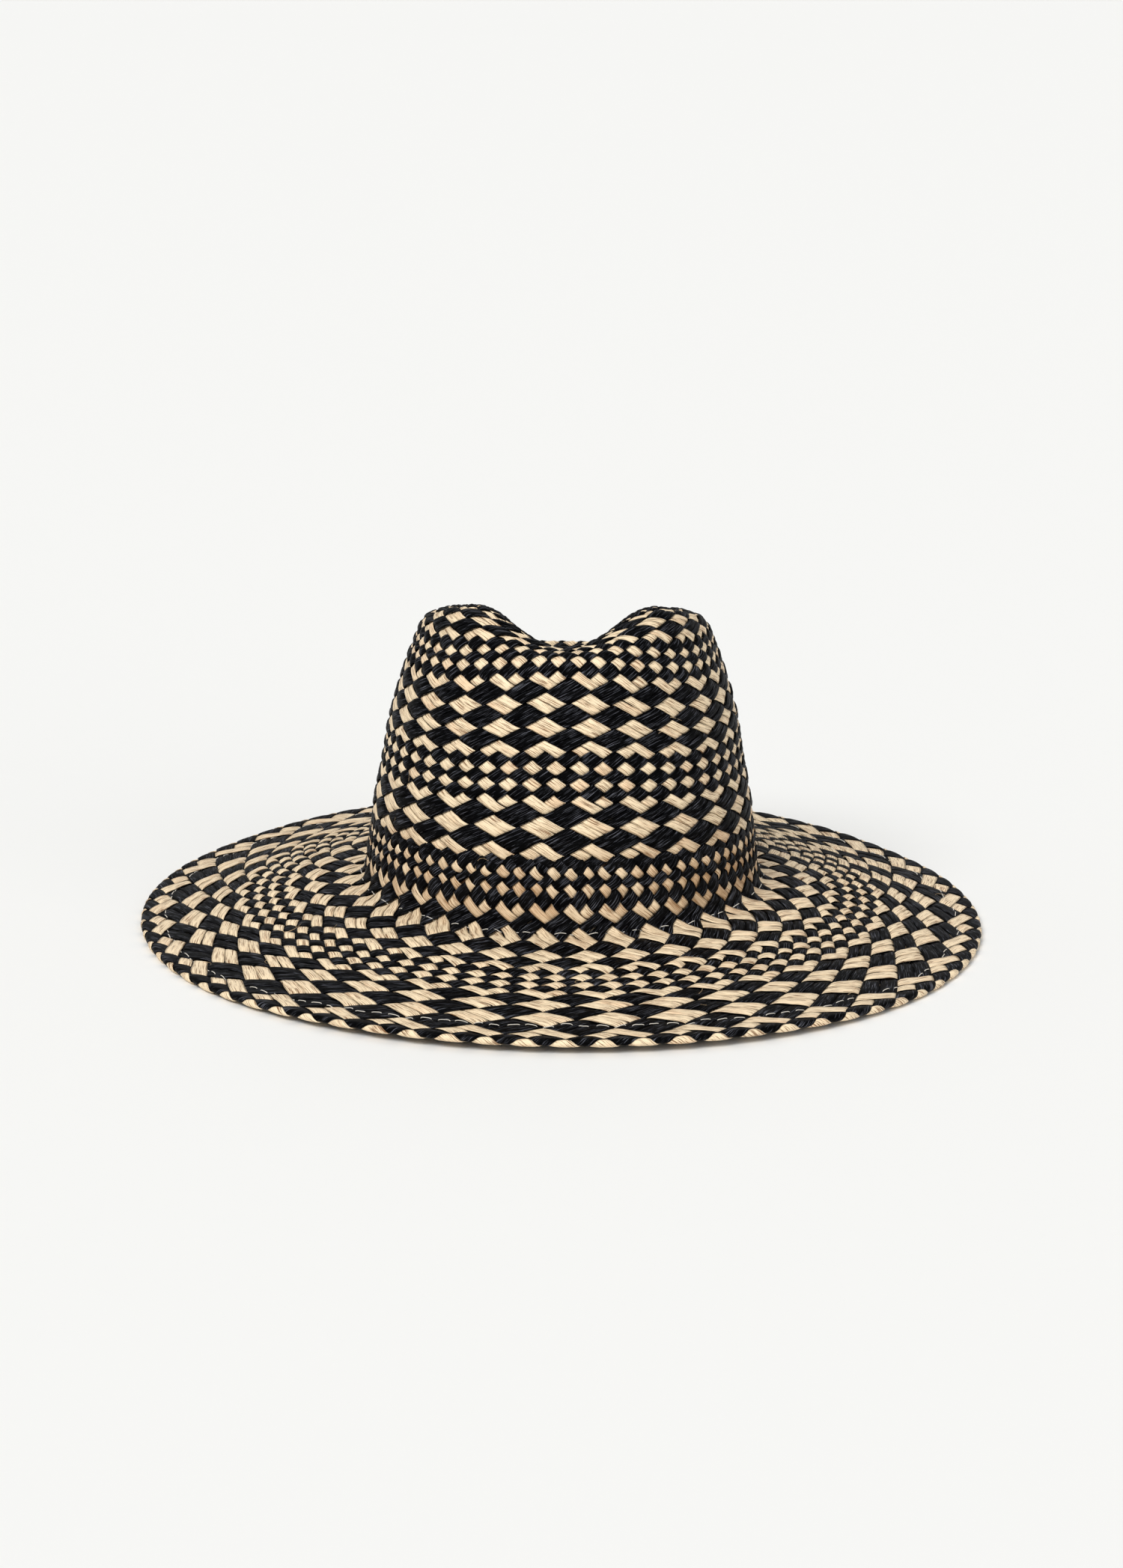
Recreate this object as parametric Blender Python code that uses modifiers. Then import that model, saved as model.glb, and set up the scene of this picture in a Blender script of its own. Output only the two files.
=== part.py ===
"""A plaited straw fedora: one woven piece for crown and brim, a folded edge and a sweatband.

Metres, +Z up. The hat stands on the flat underside of its folded edge at z = 0, with the
middle of its brim over the origin. Its front looks towards -Y, and its sides are at -X and +X.
Every piece starts as a turned profile, the hat's section at the side of the head. One
function then makes the round hat an oval one, slopes its top down to the back and presses
the crease into it, so all the pieces keep their fit.
"""

import math
from collections import namedtuple

import bpy

# The head opening, outside the weave at the foot of the crown.
HEAD_WIDTH = 0.1772
HEAD_LENGTH = 0.1962

# The brim, from the foot of the crown to the edge, seen from above.
BRIM_AT_SIDE = 0.1032
BRIM_AT_FRONT = 0.1072
BRIM_RISE = 0.0227

# The edge lies flat along the sides and lifts a little at the front and the back, from this
# share of the way round between side and front.
EDGE_LIFT = 0.0030
LIFT_FROM = 0.50

# The crown above its foot. The side height is the turned profile's own.
CROWN_AT_FRONT = 0.1360
CROWN_AT_SIDE = 0.1240
CROWN_AT_BACK = 0.1050
TIP_LENGTH = 0.1520
CREASE_DEPTH = 0.0260
CREASE_WIDTH = 0.1280

# The bend between the crown and the brim.
BEND = 0.0060

# Thicknesses. The gap keeps touching pieces apart.
WEAVE = 0.0018
GAP = 0.0003
HEM_LAYER = 0.0014
HEM_WIDTH = 0.0110
ROPE = 0.0044
BAND_HEIGHT = 0.0300
BAND_LEATHER = 0.0012
BAND_LIFT = 0.0020

# How finely the turned forms are divided.
SEGMENTS = 64
WALL_RINGS = 14
TIP_RINGS = 8
BRIM_RINGS = 8
BEND_POINTS = 4
ROPE_POINTS = 9
BAND_RINGS = 3

# The crown's side from foot to tip: shares of its height and of half the head width.
WallRow = namedtuple("WallRow", "height radius")
WALL = (
    WallRow(0.00, 1.000),
    WallRow(0.26, 0.960),
    WallRow(0.44, 0.915),
    WallRow(0.62, 0.871),
    WallRow(0.80, 0.799),
    WallRow(0.90, 0.748),
    WallRow(0.95, 0.716),
    WallRow(0.98, 0.672),
    WallRow(1.00, 0.580),
)

# The line of the tip from front to back. Place is a share of half the tip length, height
# runs from the back height (0) to the front height (1), depth is a share of the crease
# depth and spread a share of half the crease width.
TipRow = namedtuple("TipRow", "place height depth spread")
TIP = (
    TipRow(-1.00, 0.95, 0.42, 0.92),
    TipRow(-0.66, 1.00, 0.74, 0.70),
    TipRow(-0.33, 0.81, 0.94, 0.62),
    TipRow(0.00, 0.61, 1.00, 0.60),
    TipRow(0.33, 0.41, 0.96, 0.62),
    TipRow(0.66, 0.20, 0.86, 0.67),
    TipRow(1.00, 0.00, 0.68, 0.75),
)

# The share of the crown's height over which the crease fades in.
CREASE_FROM = 0.84

# The fall of the brim: shares of the way out and of the rise that is left.
BrimRow = namedtuple("BrimRow", "out rise")
BRIM = (
    BrimRow(0.00, 1.00),
    BrimRow(0.20, 0.84),
    BrimRow(0.45, 0.57),
    BrimRow(0.70, 0.28),
    BrimRow(0.90, 0.06),
    BrimRow(1.00, 0.00),
)

STRAW = (0.80, 0.62, 0.40, 1.0)
DARK_STRAW = (0.012, 0.012, 0.014, 1.0)
DARK_LEATHER = (0.03, 0.018, 0.012, 1.0)


def smooth_read(table, x, column):
    """Read a column of a table at x, its first column, on a smooth curve through the rows."""
    last = len(table) - 1
    if x <= table[0][0]:
        return getattr(table[0], column)
    if x >= table[last][0]:
        return getattr(table[last], column)
    k = max(i for i in range(last) if table[i][0] <= x)

    def slope(i):
        """Slope of the curve at row i, from the rows on its two sides."""
        low, high = max(i - 1, 0), min(i + 1, last)
        rise = getattr(table[high], column) - getattr(table[low], column)
        return rise / (table[high][0] - table[low][0])

    step = table[k + 1][0] - table[k][0]
    t = (x - table[k][0]) / step
    start, end = getattr(table[k], column), getattr(table[k + 1], column)
    return (
        (2 * t**3 - 3 * t**2 + 1) * start
        + (t**3 - 2 * t**2 + t) * step * slope(k)
        + (3 * t**2 - 2 * t**3) * end
        + (t**3 - t**2) * step * slope(k + 1)
    )


def ease(t):
    """Rise smoothly from 0 to 1 as t does."""
    t = min(max(t, 0.0), 1.0)
    return t * t * (3.0 - 2.0 * t)


def length_for(radius):
    """Half length of the oval whose half width is radius."""
    head, tip = HEAD_WIDTH / 2, WALL[-1].radius * HEAD_WIDTH / 2
    tip_stretch = TIP_LENGTH / (WALL[-3].radius * HEAD_WIDTH)
    head_stretch = HEAD_LENGTH / HEAD_WIDTH
    if radius >= head:
        return HEAD_LENGTH / 2 + (radius - head) * BRIM_AT_FRONT / BRIM_AT_SIDE
    share = ease((radius - tip) / (head - tip))
    return radius * (tip_stretch + (head_stretch - tip_stretch) * share)


def blocked(x, y, z):
    """Move a point of the round hat to where the blocked hat has it."""
    radius = math.hypot(x, y)
    if radius > HEAD_WIDTH / 2:
        out = (radius - HEAD_WIDTH / 2) / BRIM_AT_SIDE
        round_way = (abs(y) / radius - LIFT_FROM) / (1.0 - LIFT_FROM)
        z += EDGE_LIFT * out * ease(round_way)
    if radius > 0.0:
        y *= length_for(radius) / radius
    height = (z - BRIM_RISE) / CROWN_AT_SIDE
    if height <= 0.0:
        return x, y, z
    place = 2.0 * y / TIP_LENGTH
    fall = CROWN_AT_FRONT - CROWN_AT_BACK
    top = CROWN_AT_BACK + fall * smooth_read(TIP, place, "height")
    depth = CREASE_DEPTH * smooth_read(TIP, place, "depth")
    spread = CREASE_WIDTH / 2 * smooth_read(TIP, place, "spread")
    across = min(abs(x) / spread, 1.0)
    pressed = depth * (1.0 + math.cos(math.pi * across)) / 2
    z += min(height, 1.0) * (top - CROWN_AT_SIDE)
    z -= pressed * ease((height - CREASE_FROM) / (1.0 - CREASE_FROM))
    return x, y, z


def wall_point(height):
    """Point of the crown's side, at a share of its height."""
    radius = smooth_read(WALL, height, "radius") * HEAD_WIDTH / 2
    return radius, BRIM_RISE + height * CROWN_AT_SIDE


def brim_point(out):
    """Point of the brim's upper face, at a share of the way out to the hem."""
    hem_top = HEM_LAYER + GAP + WEAVE
    reach = BRIM_AT_SIDE - HEM_WIDTH
    rise = smooth_read(BRIM, out, "rise")
    return HEAD_WIDTH / 2 + out * reach, hem_top + rise * (BRIM_RISE - hem_top)


def body_profile():
    """Outer face of the woven piece from the middle of the tip down to the brim's edge."""
    points = []
    tip_radius, tip_height = wall_point(1.0)
    for i in range(TIP_RINGS):
        points.append((tip_radius * i / TIP_RINGS, tip_height))
    bend_share = BEND / CROWN_AT_SIDE
    for i in range(WALL_RINGS + 1):
        down = (i / WALL_RINGS) ** 1.25
        points.append(wall_point(1.0 - down * (1.0 - bend_share)))
    start, corner = points[-1], wall_point(0.0)
    reach = BRIM_AT_SIDE - HEM_WIDTH
    end = brim_point(BEND / reach)
    for i in range(1, BEND_POINTS):
        t = i / BEND_POINTS
        points.append(
            tuple(
                (1 - t) ** 2 * start[k] + 2 * t * (1 - t) * corner[k] + t**2 * end[k]
                for k in range(2)
            )
        )
    for i in range(BRIM_RINGS + 1):
        out = BEND / reach + (1.0 - BEND / reach) * i / BRIM_RINGS
        points.append(brim_point(out))
    rim = HEAD_WIDTH / 2 + BRIM_AT_SIDE - ROPE - GAP
    points.append((rim, points[-1][1]))
    return points


def edge_profile():
    """Section of the folded edge: a rope round the rim and a flat layer under the brim."""
    rim = HEAD_WIDTH / 2 + BRIM_AT_SIDE
    middle = rim - ROPE / 2
    inner = rim - HEM_WIDTH
    seat = math.pi + math.asin(1.0 - 2 * HEM_LAYER / ROPE)
    points = [(inner, 0.0), (inner, HEM_LAYER)]
    for i in range(ROPE_POINTS + 1):
        angle = seat - i / ROPE_POINTS * (seat + math.pi / 2)
        reach, lift = math.cos(angle), math.sin(angle)
        points.append((middle + ROPE / 2 * reach, ROPE / 2 * (1.0 + lift)))
    return points


def band_profile():
    """The part of the crown's side that the sweatband lines, top to bottom."""
    points = []
    for i in range(BAND_RINGS + 1):
        rise = BAND_LIFT + BAND_HEIGHT * (1.0 - i / BAND_RINGS)
        points.append(wall_point(rise / CROWN_AT_SIDE))
    return points


def plain_material(name, colour, roughness):
    """A Principled material with one colour."""
    material = bpy.data.materials.new(name)
    material.use_nodes = True
    shader = material.node_tree.nodes["Principled BSDF"]
    shader.inputs["Base Color"].default_value = colour
    shader.inputs["Roughness"].default_value = roughness
    shader.inputs["Metallic"].default_value = 0.0
    material.diffuse_color = colour
    return material


def turned(name, profile, closed, parts):
    """Turn a profile round the Z axis and block the round form to the hat's shape."""
    mesh = bpy.data.meshes.new(name)
    edges = [(i, i + 1) for i in range(len(profile) - 1)]
    if closed:
        edges.append((len(profile) - 1, 0))
    mesh.from_pydata([(r, 0.0, z) for r, z in profile], edges, [])
    spun = bpy.data.objects.new(name, mesh)
    parts.objects.link(spun)
    screw = spun.modifiers.new("Turn", "SCREW")
    screw.axis = "Z"
    screw.angle = 2 * math.pi
    screw.steps = SEGMENTS
    screw.render_steps = SEGMENTS
    screw.use_merge_vertices = True
    screw.merge_threshold = 0.00002
    graph = bpy.context.evaluated_depsgraph_get()
    solid = bpy.data.meshes.new_from_object(spun.evaluated_get(graph))
    spun.modifiers.clear()
    spun.data = solid
    bpy.data.meshes.remove(mesh)
    solid.name = name
    for vertex in solid.vertices:
        vertex.co = blocked(*vertex.co)
    solid.shade_smooth()
    solid.set_sharp_from_angle(angle=math.radians(50))
    return spun


def walled(piece, thickness):
    """Give an open turned face its thickness, on its inner side."""
    wall = piece.modifiers.new("Wall", "SOLIDIFY")
    wall.thickness = thickness
    wall.offset = -1.0
    wall.use_even_offset = True


def sunk(piece, depth):
    """Move an open turned face inwards, square to itself."""
    inset = piece.modifiers.new("Inset", "DISPLACE")
    inset.mid_level = 0.0
    inset.strength = -depth


def build_hat():
    """Make the hat's pieces in a collection of their own."""
    for old in list(bpy.data.objects):
        bpy.data.objects.remove(old, do_unlink=True)
    parts = bpy.data.collections.new("straw_fedora")
    bpy.context.scene.collection.children.link(parts)

    body = turned("woven_body", body_profile(), False, parts)
    walled(body, WEAVE)
    body.data.materials.append(plain_material("natural_straw", STRAW, 0.55))

    edge = turned("brim_edge", edge_profile(), True, parts)
    edge.data.materials.append(plain_material("dark_straw", DARK_STRAW, 0.5))

    band = turned("sweatband", band_profile(), False, parts)
    sunk(band, WEAVE + GAP)
    walled(band, BAND_LEATHER)
    band.data.materials.append(plain_material("band_leather", DARK_LEATHER, 0.6))


build_hat()
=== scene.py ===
"""Dresses the plaited straw fedora: the woven strips, its folded edge, thread and sweatband.

The hat is plaited from natural and black strips that cross at a slant. A chart of rows says
which strip is on top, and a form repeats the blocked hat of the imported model, so that each
strip follows the crown, the crease, the bend and the brim, and turns under at the rim.
"""

from __future__ import annotations

import logging
import math
from dataclasses import dataclass, field, replace
from enum import Enum
from typing import Any, Callable, Iterable

import bpy
import numpy as np
from mathutils import Matrix, Vector


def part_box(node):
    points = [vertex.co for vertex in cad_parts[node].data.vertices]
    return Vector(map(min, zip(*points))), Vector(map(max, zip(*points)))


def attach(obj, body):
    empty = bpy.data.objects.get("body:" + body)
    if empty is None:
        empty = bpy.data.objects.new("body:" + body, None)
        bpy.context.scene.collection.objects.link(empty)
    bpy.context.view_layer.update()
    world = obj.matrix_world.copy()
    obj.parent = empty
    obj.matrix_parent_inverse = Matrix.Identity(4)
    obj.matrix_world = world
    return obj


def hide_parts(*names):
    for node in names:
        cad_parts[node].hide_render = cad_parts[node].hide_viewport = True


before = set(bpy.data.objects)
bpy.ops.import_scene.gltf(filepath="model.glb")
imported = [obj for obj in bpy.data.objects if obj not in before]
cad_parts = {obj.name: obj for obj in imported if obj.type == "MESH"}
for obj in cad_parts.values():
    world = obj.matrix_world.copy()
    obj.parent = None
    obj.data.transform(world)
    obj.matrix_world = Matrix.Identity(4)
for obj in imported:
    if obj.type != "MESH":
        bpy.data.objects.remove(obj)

LOG = logging.getLogger("straw_fedora")
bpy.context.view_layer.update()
ROOT = "root"

Rows = np.ndarray
Pair = tuple[float, float]
Triple = tuple[float, float, float]
Thing = bpy.types.Object

# Half the width of a usual strip, in millimetres, which the fibres are drawn for, and how far
# they spread with a strip's own width: 0 for not at all, 1 for in full.
USUAL_HALF, FIBRE_SPREAD = 2.4, 0.7

# Millimetres in a metre.
MILLIMETRES = 1000.0

# A direction that no thread runs along.
UPWARDS = (0.13, 0.21, 0.97)


class Straw(Enum):
    """The two colours of straw. Natural strips fall to the right, black ones to the left."""

    NATURAL = "natural"
    BLACK = "black"

    @property
    def side(self) -> int:
        """Which way a strip moves round the hat as it goes outwards."""
        return 1 if self is Straw.NATURAL else -1

    @property
    def slot(self) -> str:
        """The record's material slot."""
        return "natural_straw" if self is Straw.NATURAL else "dark_straw"


class Row(Enum):
    """Kinds of natural row, named for the shape that shows."""

    SMALL = "small checks"
    VEE = "small checks above, big below"
    BIG = "big checks"
    CUT = "big checks above, small below"
    DARK = "all black"


ChartRow = tuple[int, Row, float]


def unit(vectors: Rows) -> Rows:
    """Scale vectors to a length of 1."""
    return vectors / np.maximum(np.linalg.norm(vectors, axis=-1, keepdims=True), 1e-12)


def eased(t: Rows) -> Rows:
    """Rise smoothly from 0 to 1 as t does."""
    t = np.clip(t, 0.0, 1.0)
    return t * t * (3.0 - 2.0 * t)


def smooth_through(xs: Iterable[float], ys: Iterable[float], x: Rows) -> Rows:
    """Read a smooth curve through a few points.

    Args:
        xs: rising places of the points.
        ys: values at the points.
        x: places to read.

    Returns:
        The curve's values at x, held level past both ends.
    """
    xs, ys = np.asarray(xs, float), np.asarray(ys, float)
    slopes = np.empty_like(ys)
    slopes[1:-1] = (ys[2:] - ys[:-2]) / (xs[2:] - xs[:-2])
    slopes[0] = (ys[1] - ys[0]) / (xs[1] - xs[0])
    slopes[-1] = (ys[-1] - ys[-2]) / (xs[-1] - xs[-2])
    x = np.clip(x, xs[0], xs[-1])
    k = np.clip(np.searchsorted(xs, x, side="right") - 1, 0, len(xs) - 2)
    step = xs[k + 1] - xs[k]
    t = (x - xs[k]) / step
    return (
        (2 * t**3 - 3 * t**2 + 1) * ys[k]
        + (t**3 - 2 * t**2 + t) * step * slopes[k]
        + (3 * t**2 - 2 * t**3) * ys[k + 1]
        + (t**3 - t**2) * step * slopes[k + 1]
    )


@dataclass
class HatForm:
    """The blocked hat: an oval crown with a crease, on a brim that lifts at front and back.

    Sizes are metres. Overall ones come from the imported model, and the rest repeat the
    construction's named sizes.
    """

    head_width: float = 0.1772
    head_length: float = 0.1962
    brim_rise: float = 0.0227
    edge_lift: float = 0.0030
    lift_from: float = 0.50
    crown_front: float = 0.1360
    crown_side: float = 0.1240
    crown_back: float = 0.1050
    tip_length: float = 0.1520
    crease_depth: float = 0.0260
    crease_width: float = 0.1280
    crease_from: float = 0.84
    bend: float = 0.0060
    weave: float = 0.0018
    hem_width: float = 0.0110
    hem_top: float = 0.0042
    hem_under: float = 0.0011
    rim_inset: float = 0.0024
    half_width: float = field(default_factory=lambda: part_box("brim_edge")[1][0])
    half_length: float = field(default_factory=lambda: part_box("brim_edge")[1][1])

    # The crown's side: shares of its height, and of half the head width.
    wall_heights = (0.00, 0.26, 0.44, 0.62, 0.80, 0.90, 0.95, 0.98, 1.00)
    wall_radii = (1.000, 0.960, 0.915, 0.871, 0.799, 0.748, 0.716, 0.672, 0.580)
    shoulder_radius = 0.716

    # The tip from front to back: its height between back and front, and the crease.
    tip_places = (-1.00, -0.66, -0.33, 0.00, 0.33, 0.66, 1.00)
    tip_heights = (0.95, 1.00, 0.81, 0.61, 0.41, 0.20, 0.00)
    crease_depths = (0.42, 0.74, 0.94, 1.00, 0.96, 0.86, 0.68)
    crease_spreads = (0.92, 0.70, 0.62, 0.60, 0.62, 0.67, 0.75)

    # The fall of the brim: shares of the way out to the hem, and of the rise.
    brim_outs = (0.00, 0.20, 0.45, 0.70, 0.90, 1.00)
    brim_rises = (1.00, 0.84, 0.57, 0.28, 0.06, 0.00)

    # How finely the section and the ways along it are measured.
    wall_steps, tip_steps, brim_steps, bend_steps, hem_steps = 160, 80, 120, 14, 10
    directions, way_steps, distance_steps = 241, 1600, 900

    # Rows rise and fall with the crown's height up to here, in ways from its foot to the crease.
    folds_at = 1.12

    def __post_init__(self) -> None:
        """Measure the section, then tie distances on the front to every other direction."""
        self.brim_side = self.half_width - self.head_width / 2
        self.brim_front = self.half_length - self.head_length / 2
        self.section = self._section()
        steps = np.hypot(*np.diff(self.section, axis=0).T)
        self.travel = np.concatenate(([0.0], np.cumsum(steps)))
        self.foot = self.travel[np.argmin(abs(self.section[:, 0] - self.head_width / 2))]
        self._tie_distances()

    def _section(self) -> Rows:
        """Section of the turned hat at mid-weave, as radius and height, tip to hem."""
        half_head, middle = self.head_width / 2, self.weave / 2
        wall = np.linspace(1.0, self.bend / self.crown_side, self.wall_steps)
        radii = smooth_through(self.wall_heights, self.wall_radii, wall) * half_head
        tip = np.linspace(0.0, radii[0], self.tip_steps)[:-1]
        top = self.brim_rise + self.crown_side
        points = [(r, top) for r in tip]
        points += list(zip(radii, self.brim_rise + wall * self.crown_side))
        reach = self.brim_side - self.hem_width
        outs = np.linspace(self.bend / reach, 1.0, self.brim_steps)
        fall = smooth_through(self.brim_outs, self.brim_rises, outs)
        heights = self.hem_top + fall * (self.brim_rise - self.hem_top)
        brim = list(zip(half_head + outs * reach, heights))
        start, corner, end = np.array((points[-1], (half_head, self.brim_rise), brim[0]))
        for t in np.linspace(0.0, 1.0, self.bend_steps)[1:-1]:
            points.append(tuple((1 - t) ** 2 * start + 2 * t * (1 - t) * corner + t * t * end))
        points += brim
        points = [(r, z - middle) for r, z in points]
        turn = self.half_width - self.rim_inset
        hem = np.linspace(brim[-1][0], turn, self.hem_steps)[1:]
        points += [(r, self.hem_top - middle) for r in hem]
        bend = (self.hem_top - middle - self.hem_under) / 2
        for angle in np.linspace(math.pi / 2, -math.pi / 2, self.bend_steps)[1:]:
            across, up = bend * math.cos(angle), bend * math.sin(angle)
            points.append((turn + across, self.hem_under + bend + up))
        under = np.linspace(turn, self.half_width - self.hem_width, self.hem_steps)[1:]
        points += [(r, self.hem_under) for r in under]
        return np.array(points)

    def length_for(self, radius: Rows) -> Rows:
        """Half length of the oval with this half width."""
        head, tip = self.head_width / 2, self.wall_radii[-1] * self.head_width / 2
        tip_stretch = self.tip_length / (self.shoulder_radius * self.head_width)
        head_stretch = self.head_length / self.head_width
        share = eased((radius - tip) / (head - tip))
        brim = self.head_length / 2 + (radius - head) * self.brim_front / self.brim_side
        crown = radius * (tip_stretch + (head_stretch - tip_stretch) * share)
        return np.where(radius >= head, brim, crown)

    def blocked(self, x: Rows, y: Rows, z: Rows) -> Rows:
        """Move points of the turned hat to where the blocked hat has them.

        Args:
            x: places across.
            y: places along, the front being negative.
            z: heights.

        Returns:
            Points of the blocked hat, one row of three for each.
        """
        radius = np.hypot(x, y)
        safe = np.maximum(radius, 1e-9)
        out = np.clip((radius - self.head_width / 2) / self.brim_side, 0.0, None)
        round_way = (np.abs(y) / safe - self.lift_from) / (1.0 - self.lift_from)
        z = z + self.edge_lift * out * eased(round_way)
        y = y * self.length_for(radius) / safe
        height = (z - self.brim_rise) / self.crown_side
        place = 2.0 * y / self.tip_length
        fall = self.crown_front - self.crown_back
        top, depth, spread = (
            smooth_through(self.tip_places, values, place)
            for values in (self.tip_heights, self.crease_depths, self.crease_spreads)
        )
        top, depth = self.crown_back + fall * top, self.crease_depth * depth
        spread = self.crease_width / 2 * spread
        across = np.minimum(np.abs(x) / spread, 1.0)
        pressed = depth * (1.0 + np.cos(math.pi * across)) / 2
        pressed = pressed * eased((height - self.crease_from) / (1.0 - self.crease_from))
        raised = np.clip(height, 0.0, 1.0) * (top - self.crown_side)
        z = z + np.where(radius < self.head_width / 2, raised - pressed, 0.0)
        return np.stack((x, y, z), axis=-1)

    def at(self, travel: Rows, angle: Rows) -> Rows:
        """Points at a way along the turned section, at an angle round from the front."""
        radius = np.interp(travel, self.travel, self.section[:, 0])
        height = np.interp(travel, self.travel, self.section[:, 1])
        return self.blocked(radius * np.sin(angle), -radius * np.cos(angle), height)

    def _tie_distances(self) -> None:
        """Tabulate, for each direction, the way along the section of each distance."""
        self.angles = np.linspace(-math.pi, math.pi, self.directions)
        way = np.linspace(0.0, self.travel[-1], self.way_steps)
        grid_way, grid_angle = np.meshgrid(way, self.angles, indexing="ij")
        points = self.at(grid_way, grid_angle)
        steps = np.linalg.norm(np.diff(points, axis=0), axis=-1)
        length = np.concatenate((np.zeros((1, len(self.angles))), np.cumsum(steps, axis=0)))
        foot = np.array([np.interp(self.foot, way, column) for column in length.T])
        front = len(self.angles) // 2
        heights = np.interp(way, self.travel, self.section[:, 1])
        shoulder = self.brim_rise + self.crease_from * self.crown_side
        radii = np.interp(way, self.travel, self.section[:, 0])
        on_crown = radii < self.head_width / 2
        at_shoulder = np.argmin(np.where(on_crown, abs(heights - shoulder), np.inf))
        wall = foot - length[at_shoulder]
        ahead, aside = np.cos(self.angles), 1.0 - self.crown_side / self.crown_front
        behind = 1.0 - self.crown_back / self.crown_front - aside
        share = 1.0 - aside * (1.0 - np.clip(ahead, 0.0, 1.0) ** 4)
        share = share - behind * np.clip(-ahead, 0.0, 1.0) ** 2
        self.tip_distance = foot[front]
        self.rim_distance = length[-1, front] - foot[front]
        fold = wall[front] * self.folds_at
        self.distances = np.linspace(-self.tip_distance, self.rim_distance, self.distance_steps)
        self.ways = np.empty((len(self.distances), len(self.angles)))
        up = -self.distances
        for k in range(len(self.angles)):
            beyond = (up - fold) / (self.tip_distance - fold)
            rest = fold * share[k] + beyond * (foot[k] - fold * share[k])
            climb = np.where(up < fold, up * share[k], rest)
            brim = self.distances * (length[-1, k] - foot[k]) / self.rim_distance
            run = np.where(self.distances > 0.0, foot[k] + brim, foot[k] - climb)
            self.ways[:, k] = np.interp(run, length[:, k], way)

    def way(self, distance: Rows, angle: Rows) -> Rows:
        """Way along the section of a distance from the crown's foot, as measured in front."""
        angle = (angle + math.pi) % (2 * math.pi)
        step = self.angles[1] - self.angles[0]
        k = np.minimum((angle / step).astype(int), len(self.angles) - 2)
        t = angle / step - k
        span = self.distances[1] - self.distances[0]
        d = np.clip((distance - self.distances[0]) / span, 0.0, len(self.distances) - 1.001)
        i = d.astype(int)
        u = d - i
        low = self.ways[i, k] * (1 - t) + self.ways[i, k + 1] * t
        high = self.ways[i + 1, k] * (1 - t) + self.ways[i + 1, k + 1] * t
        return low * (1 - u) + high * u

    def lifted(self, way: Rows, angle: Rows, lift: Rows) -> Rows:
        """Points raised square off the hat.

        Args:
            way: ways along the turned section.
            angle: angles round from the front, towards +X.
            lift: how far each point stands off the middle of the weave.

        Returns:
            The raised points.
        """
        small_way, small_angle = 0.0012, 0.006
        here = self.at(way, angle)
        down = self.at(way + small_way, angle) - self.at(way - small_way, angle)
        round_ = self.at(way, angle + small_angle) - self.at(way, angle - small_angle)
        return here + unit(np.cross(down, round_)) * np.asarray(lift)[..., None]


def small_rows(first: int, last: int, start: float, end: float) -> tuple[ChartRow, ...]:
    """Rows of small checks at every other row, evenly spaced from start to end in millimetres."""
    rows = range(first, last + 1, 2)
    return tuple((r, Row.SMALL, d) for r, d in zip(rows, np.linspace(start, end, len(rows))))


# Rows of the chart that natural straw centres on, from the tip's middle outwards: the kind of
# row, and its distance from the crown's foot down the front, in millimetres.
CENTRE_ROWS = small_rows(-35, -25, -186.4, -169.4)
UPPER_ROWS = (
    *small_rows(-27, -11, -177.8, -149.8),
    (-9, Row.SMALL, -146.2),
    (-7, Row.VEE, -142.2),
    (-3, Row.BIG, -136.2),
    (1, Row.CUT, -129.8),
    (3, Row.SMALL, -123.9),
    (5, Row.SMALL, -117.5),
    (7, Row.VEE, -109.6),
    (11, Row.BIG, -98.5),
    (15, Row.BIG, -87.9),
    (19, Row.CUT, -77.6),
    (21, Row.SMALL, -70.1),
    (23, Row.SMALL, -62.8),
    (25, Row.VEE, -55.2),
    (29, Row.BIG, -43.7),
    (33, Row.CUT, -31.9),
    (35, Row.SMALL, -24.5),
    (37, Row.SMALL, -16.7),
)
LOWER_ROWS = (
    (33, Row.DARK, -31.9),
    (35, Row.SMALL, -23.2),
    (37, Row.SMALL, -16.4),
    (39, Row.VEE, -6.6),
    (42, Row.DARK, 3.0),
    (43, Row.BIG, 10.0),
    (47, Row.BIG, 26.8),
    (51, Row.CUT, 38.3),
    (53, Row.SMALL, 46.6),
    (55, Row.SMALL, 53.4),
    (57, Row.VEE, 60.9),
    (61, Row.BIG, 72.0),
    (65, Row.BIG, 84.6),
    (69, Row.CUT, 101.9),
    (71, Row.SMALL, 111.5),
    (73, Row.SMALL, 117.0),
    (75, Row.SMALL, 122.0),
)


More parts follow.
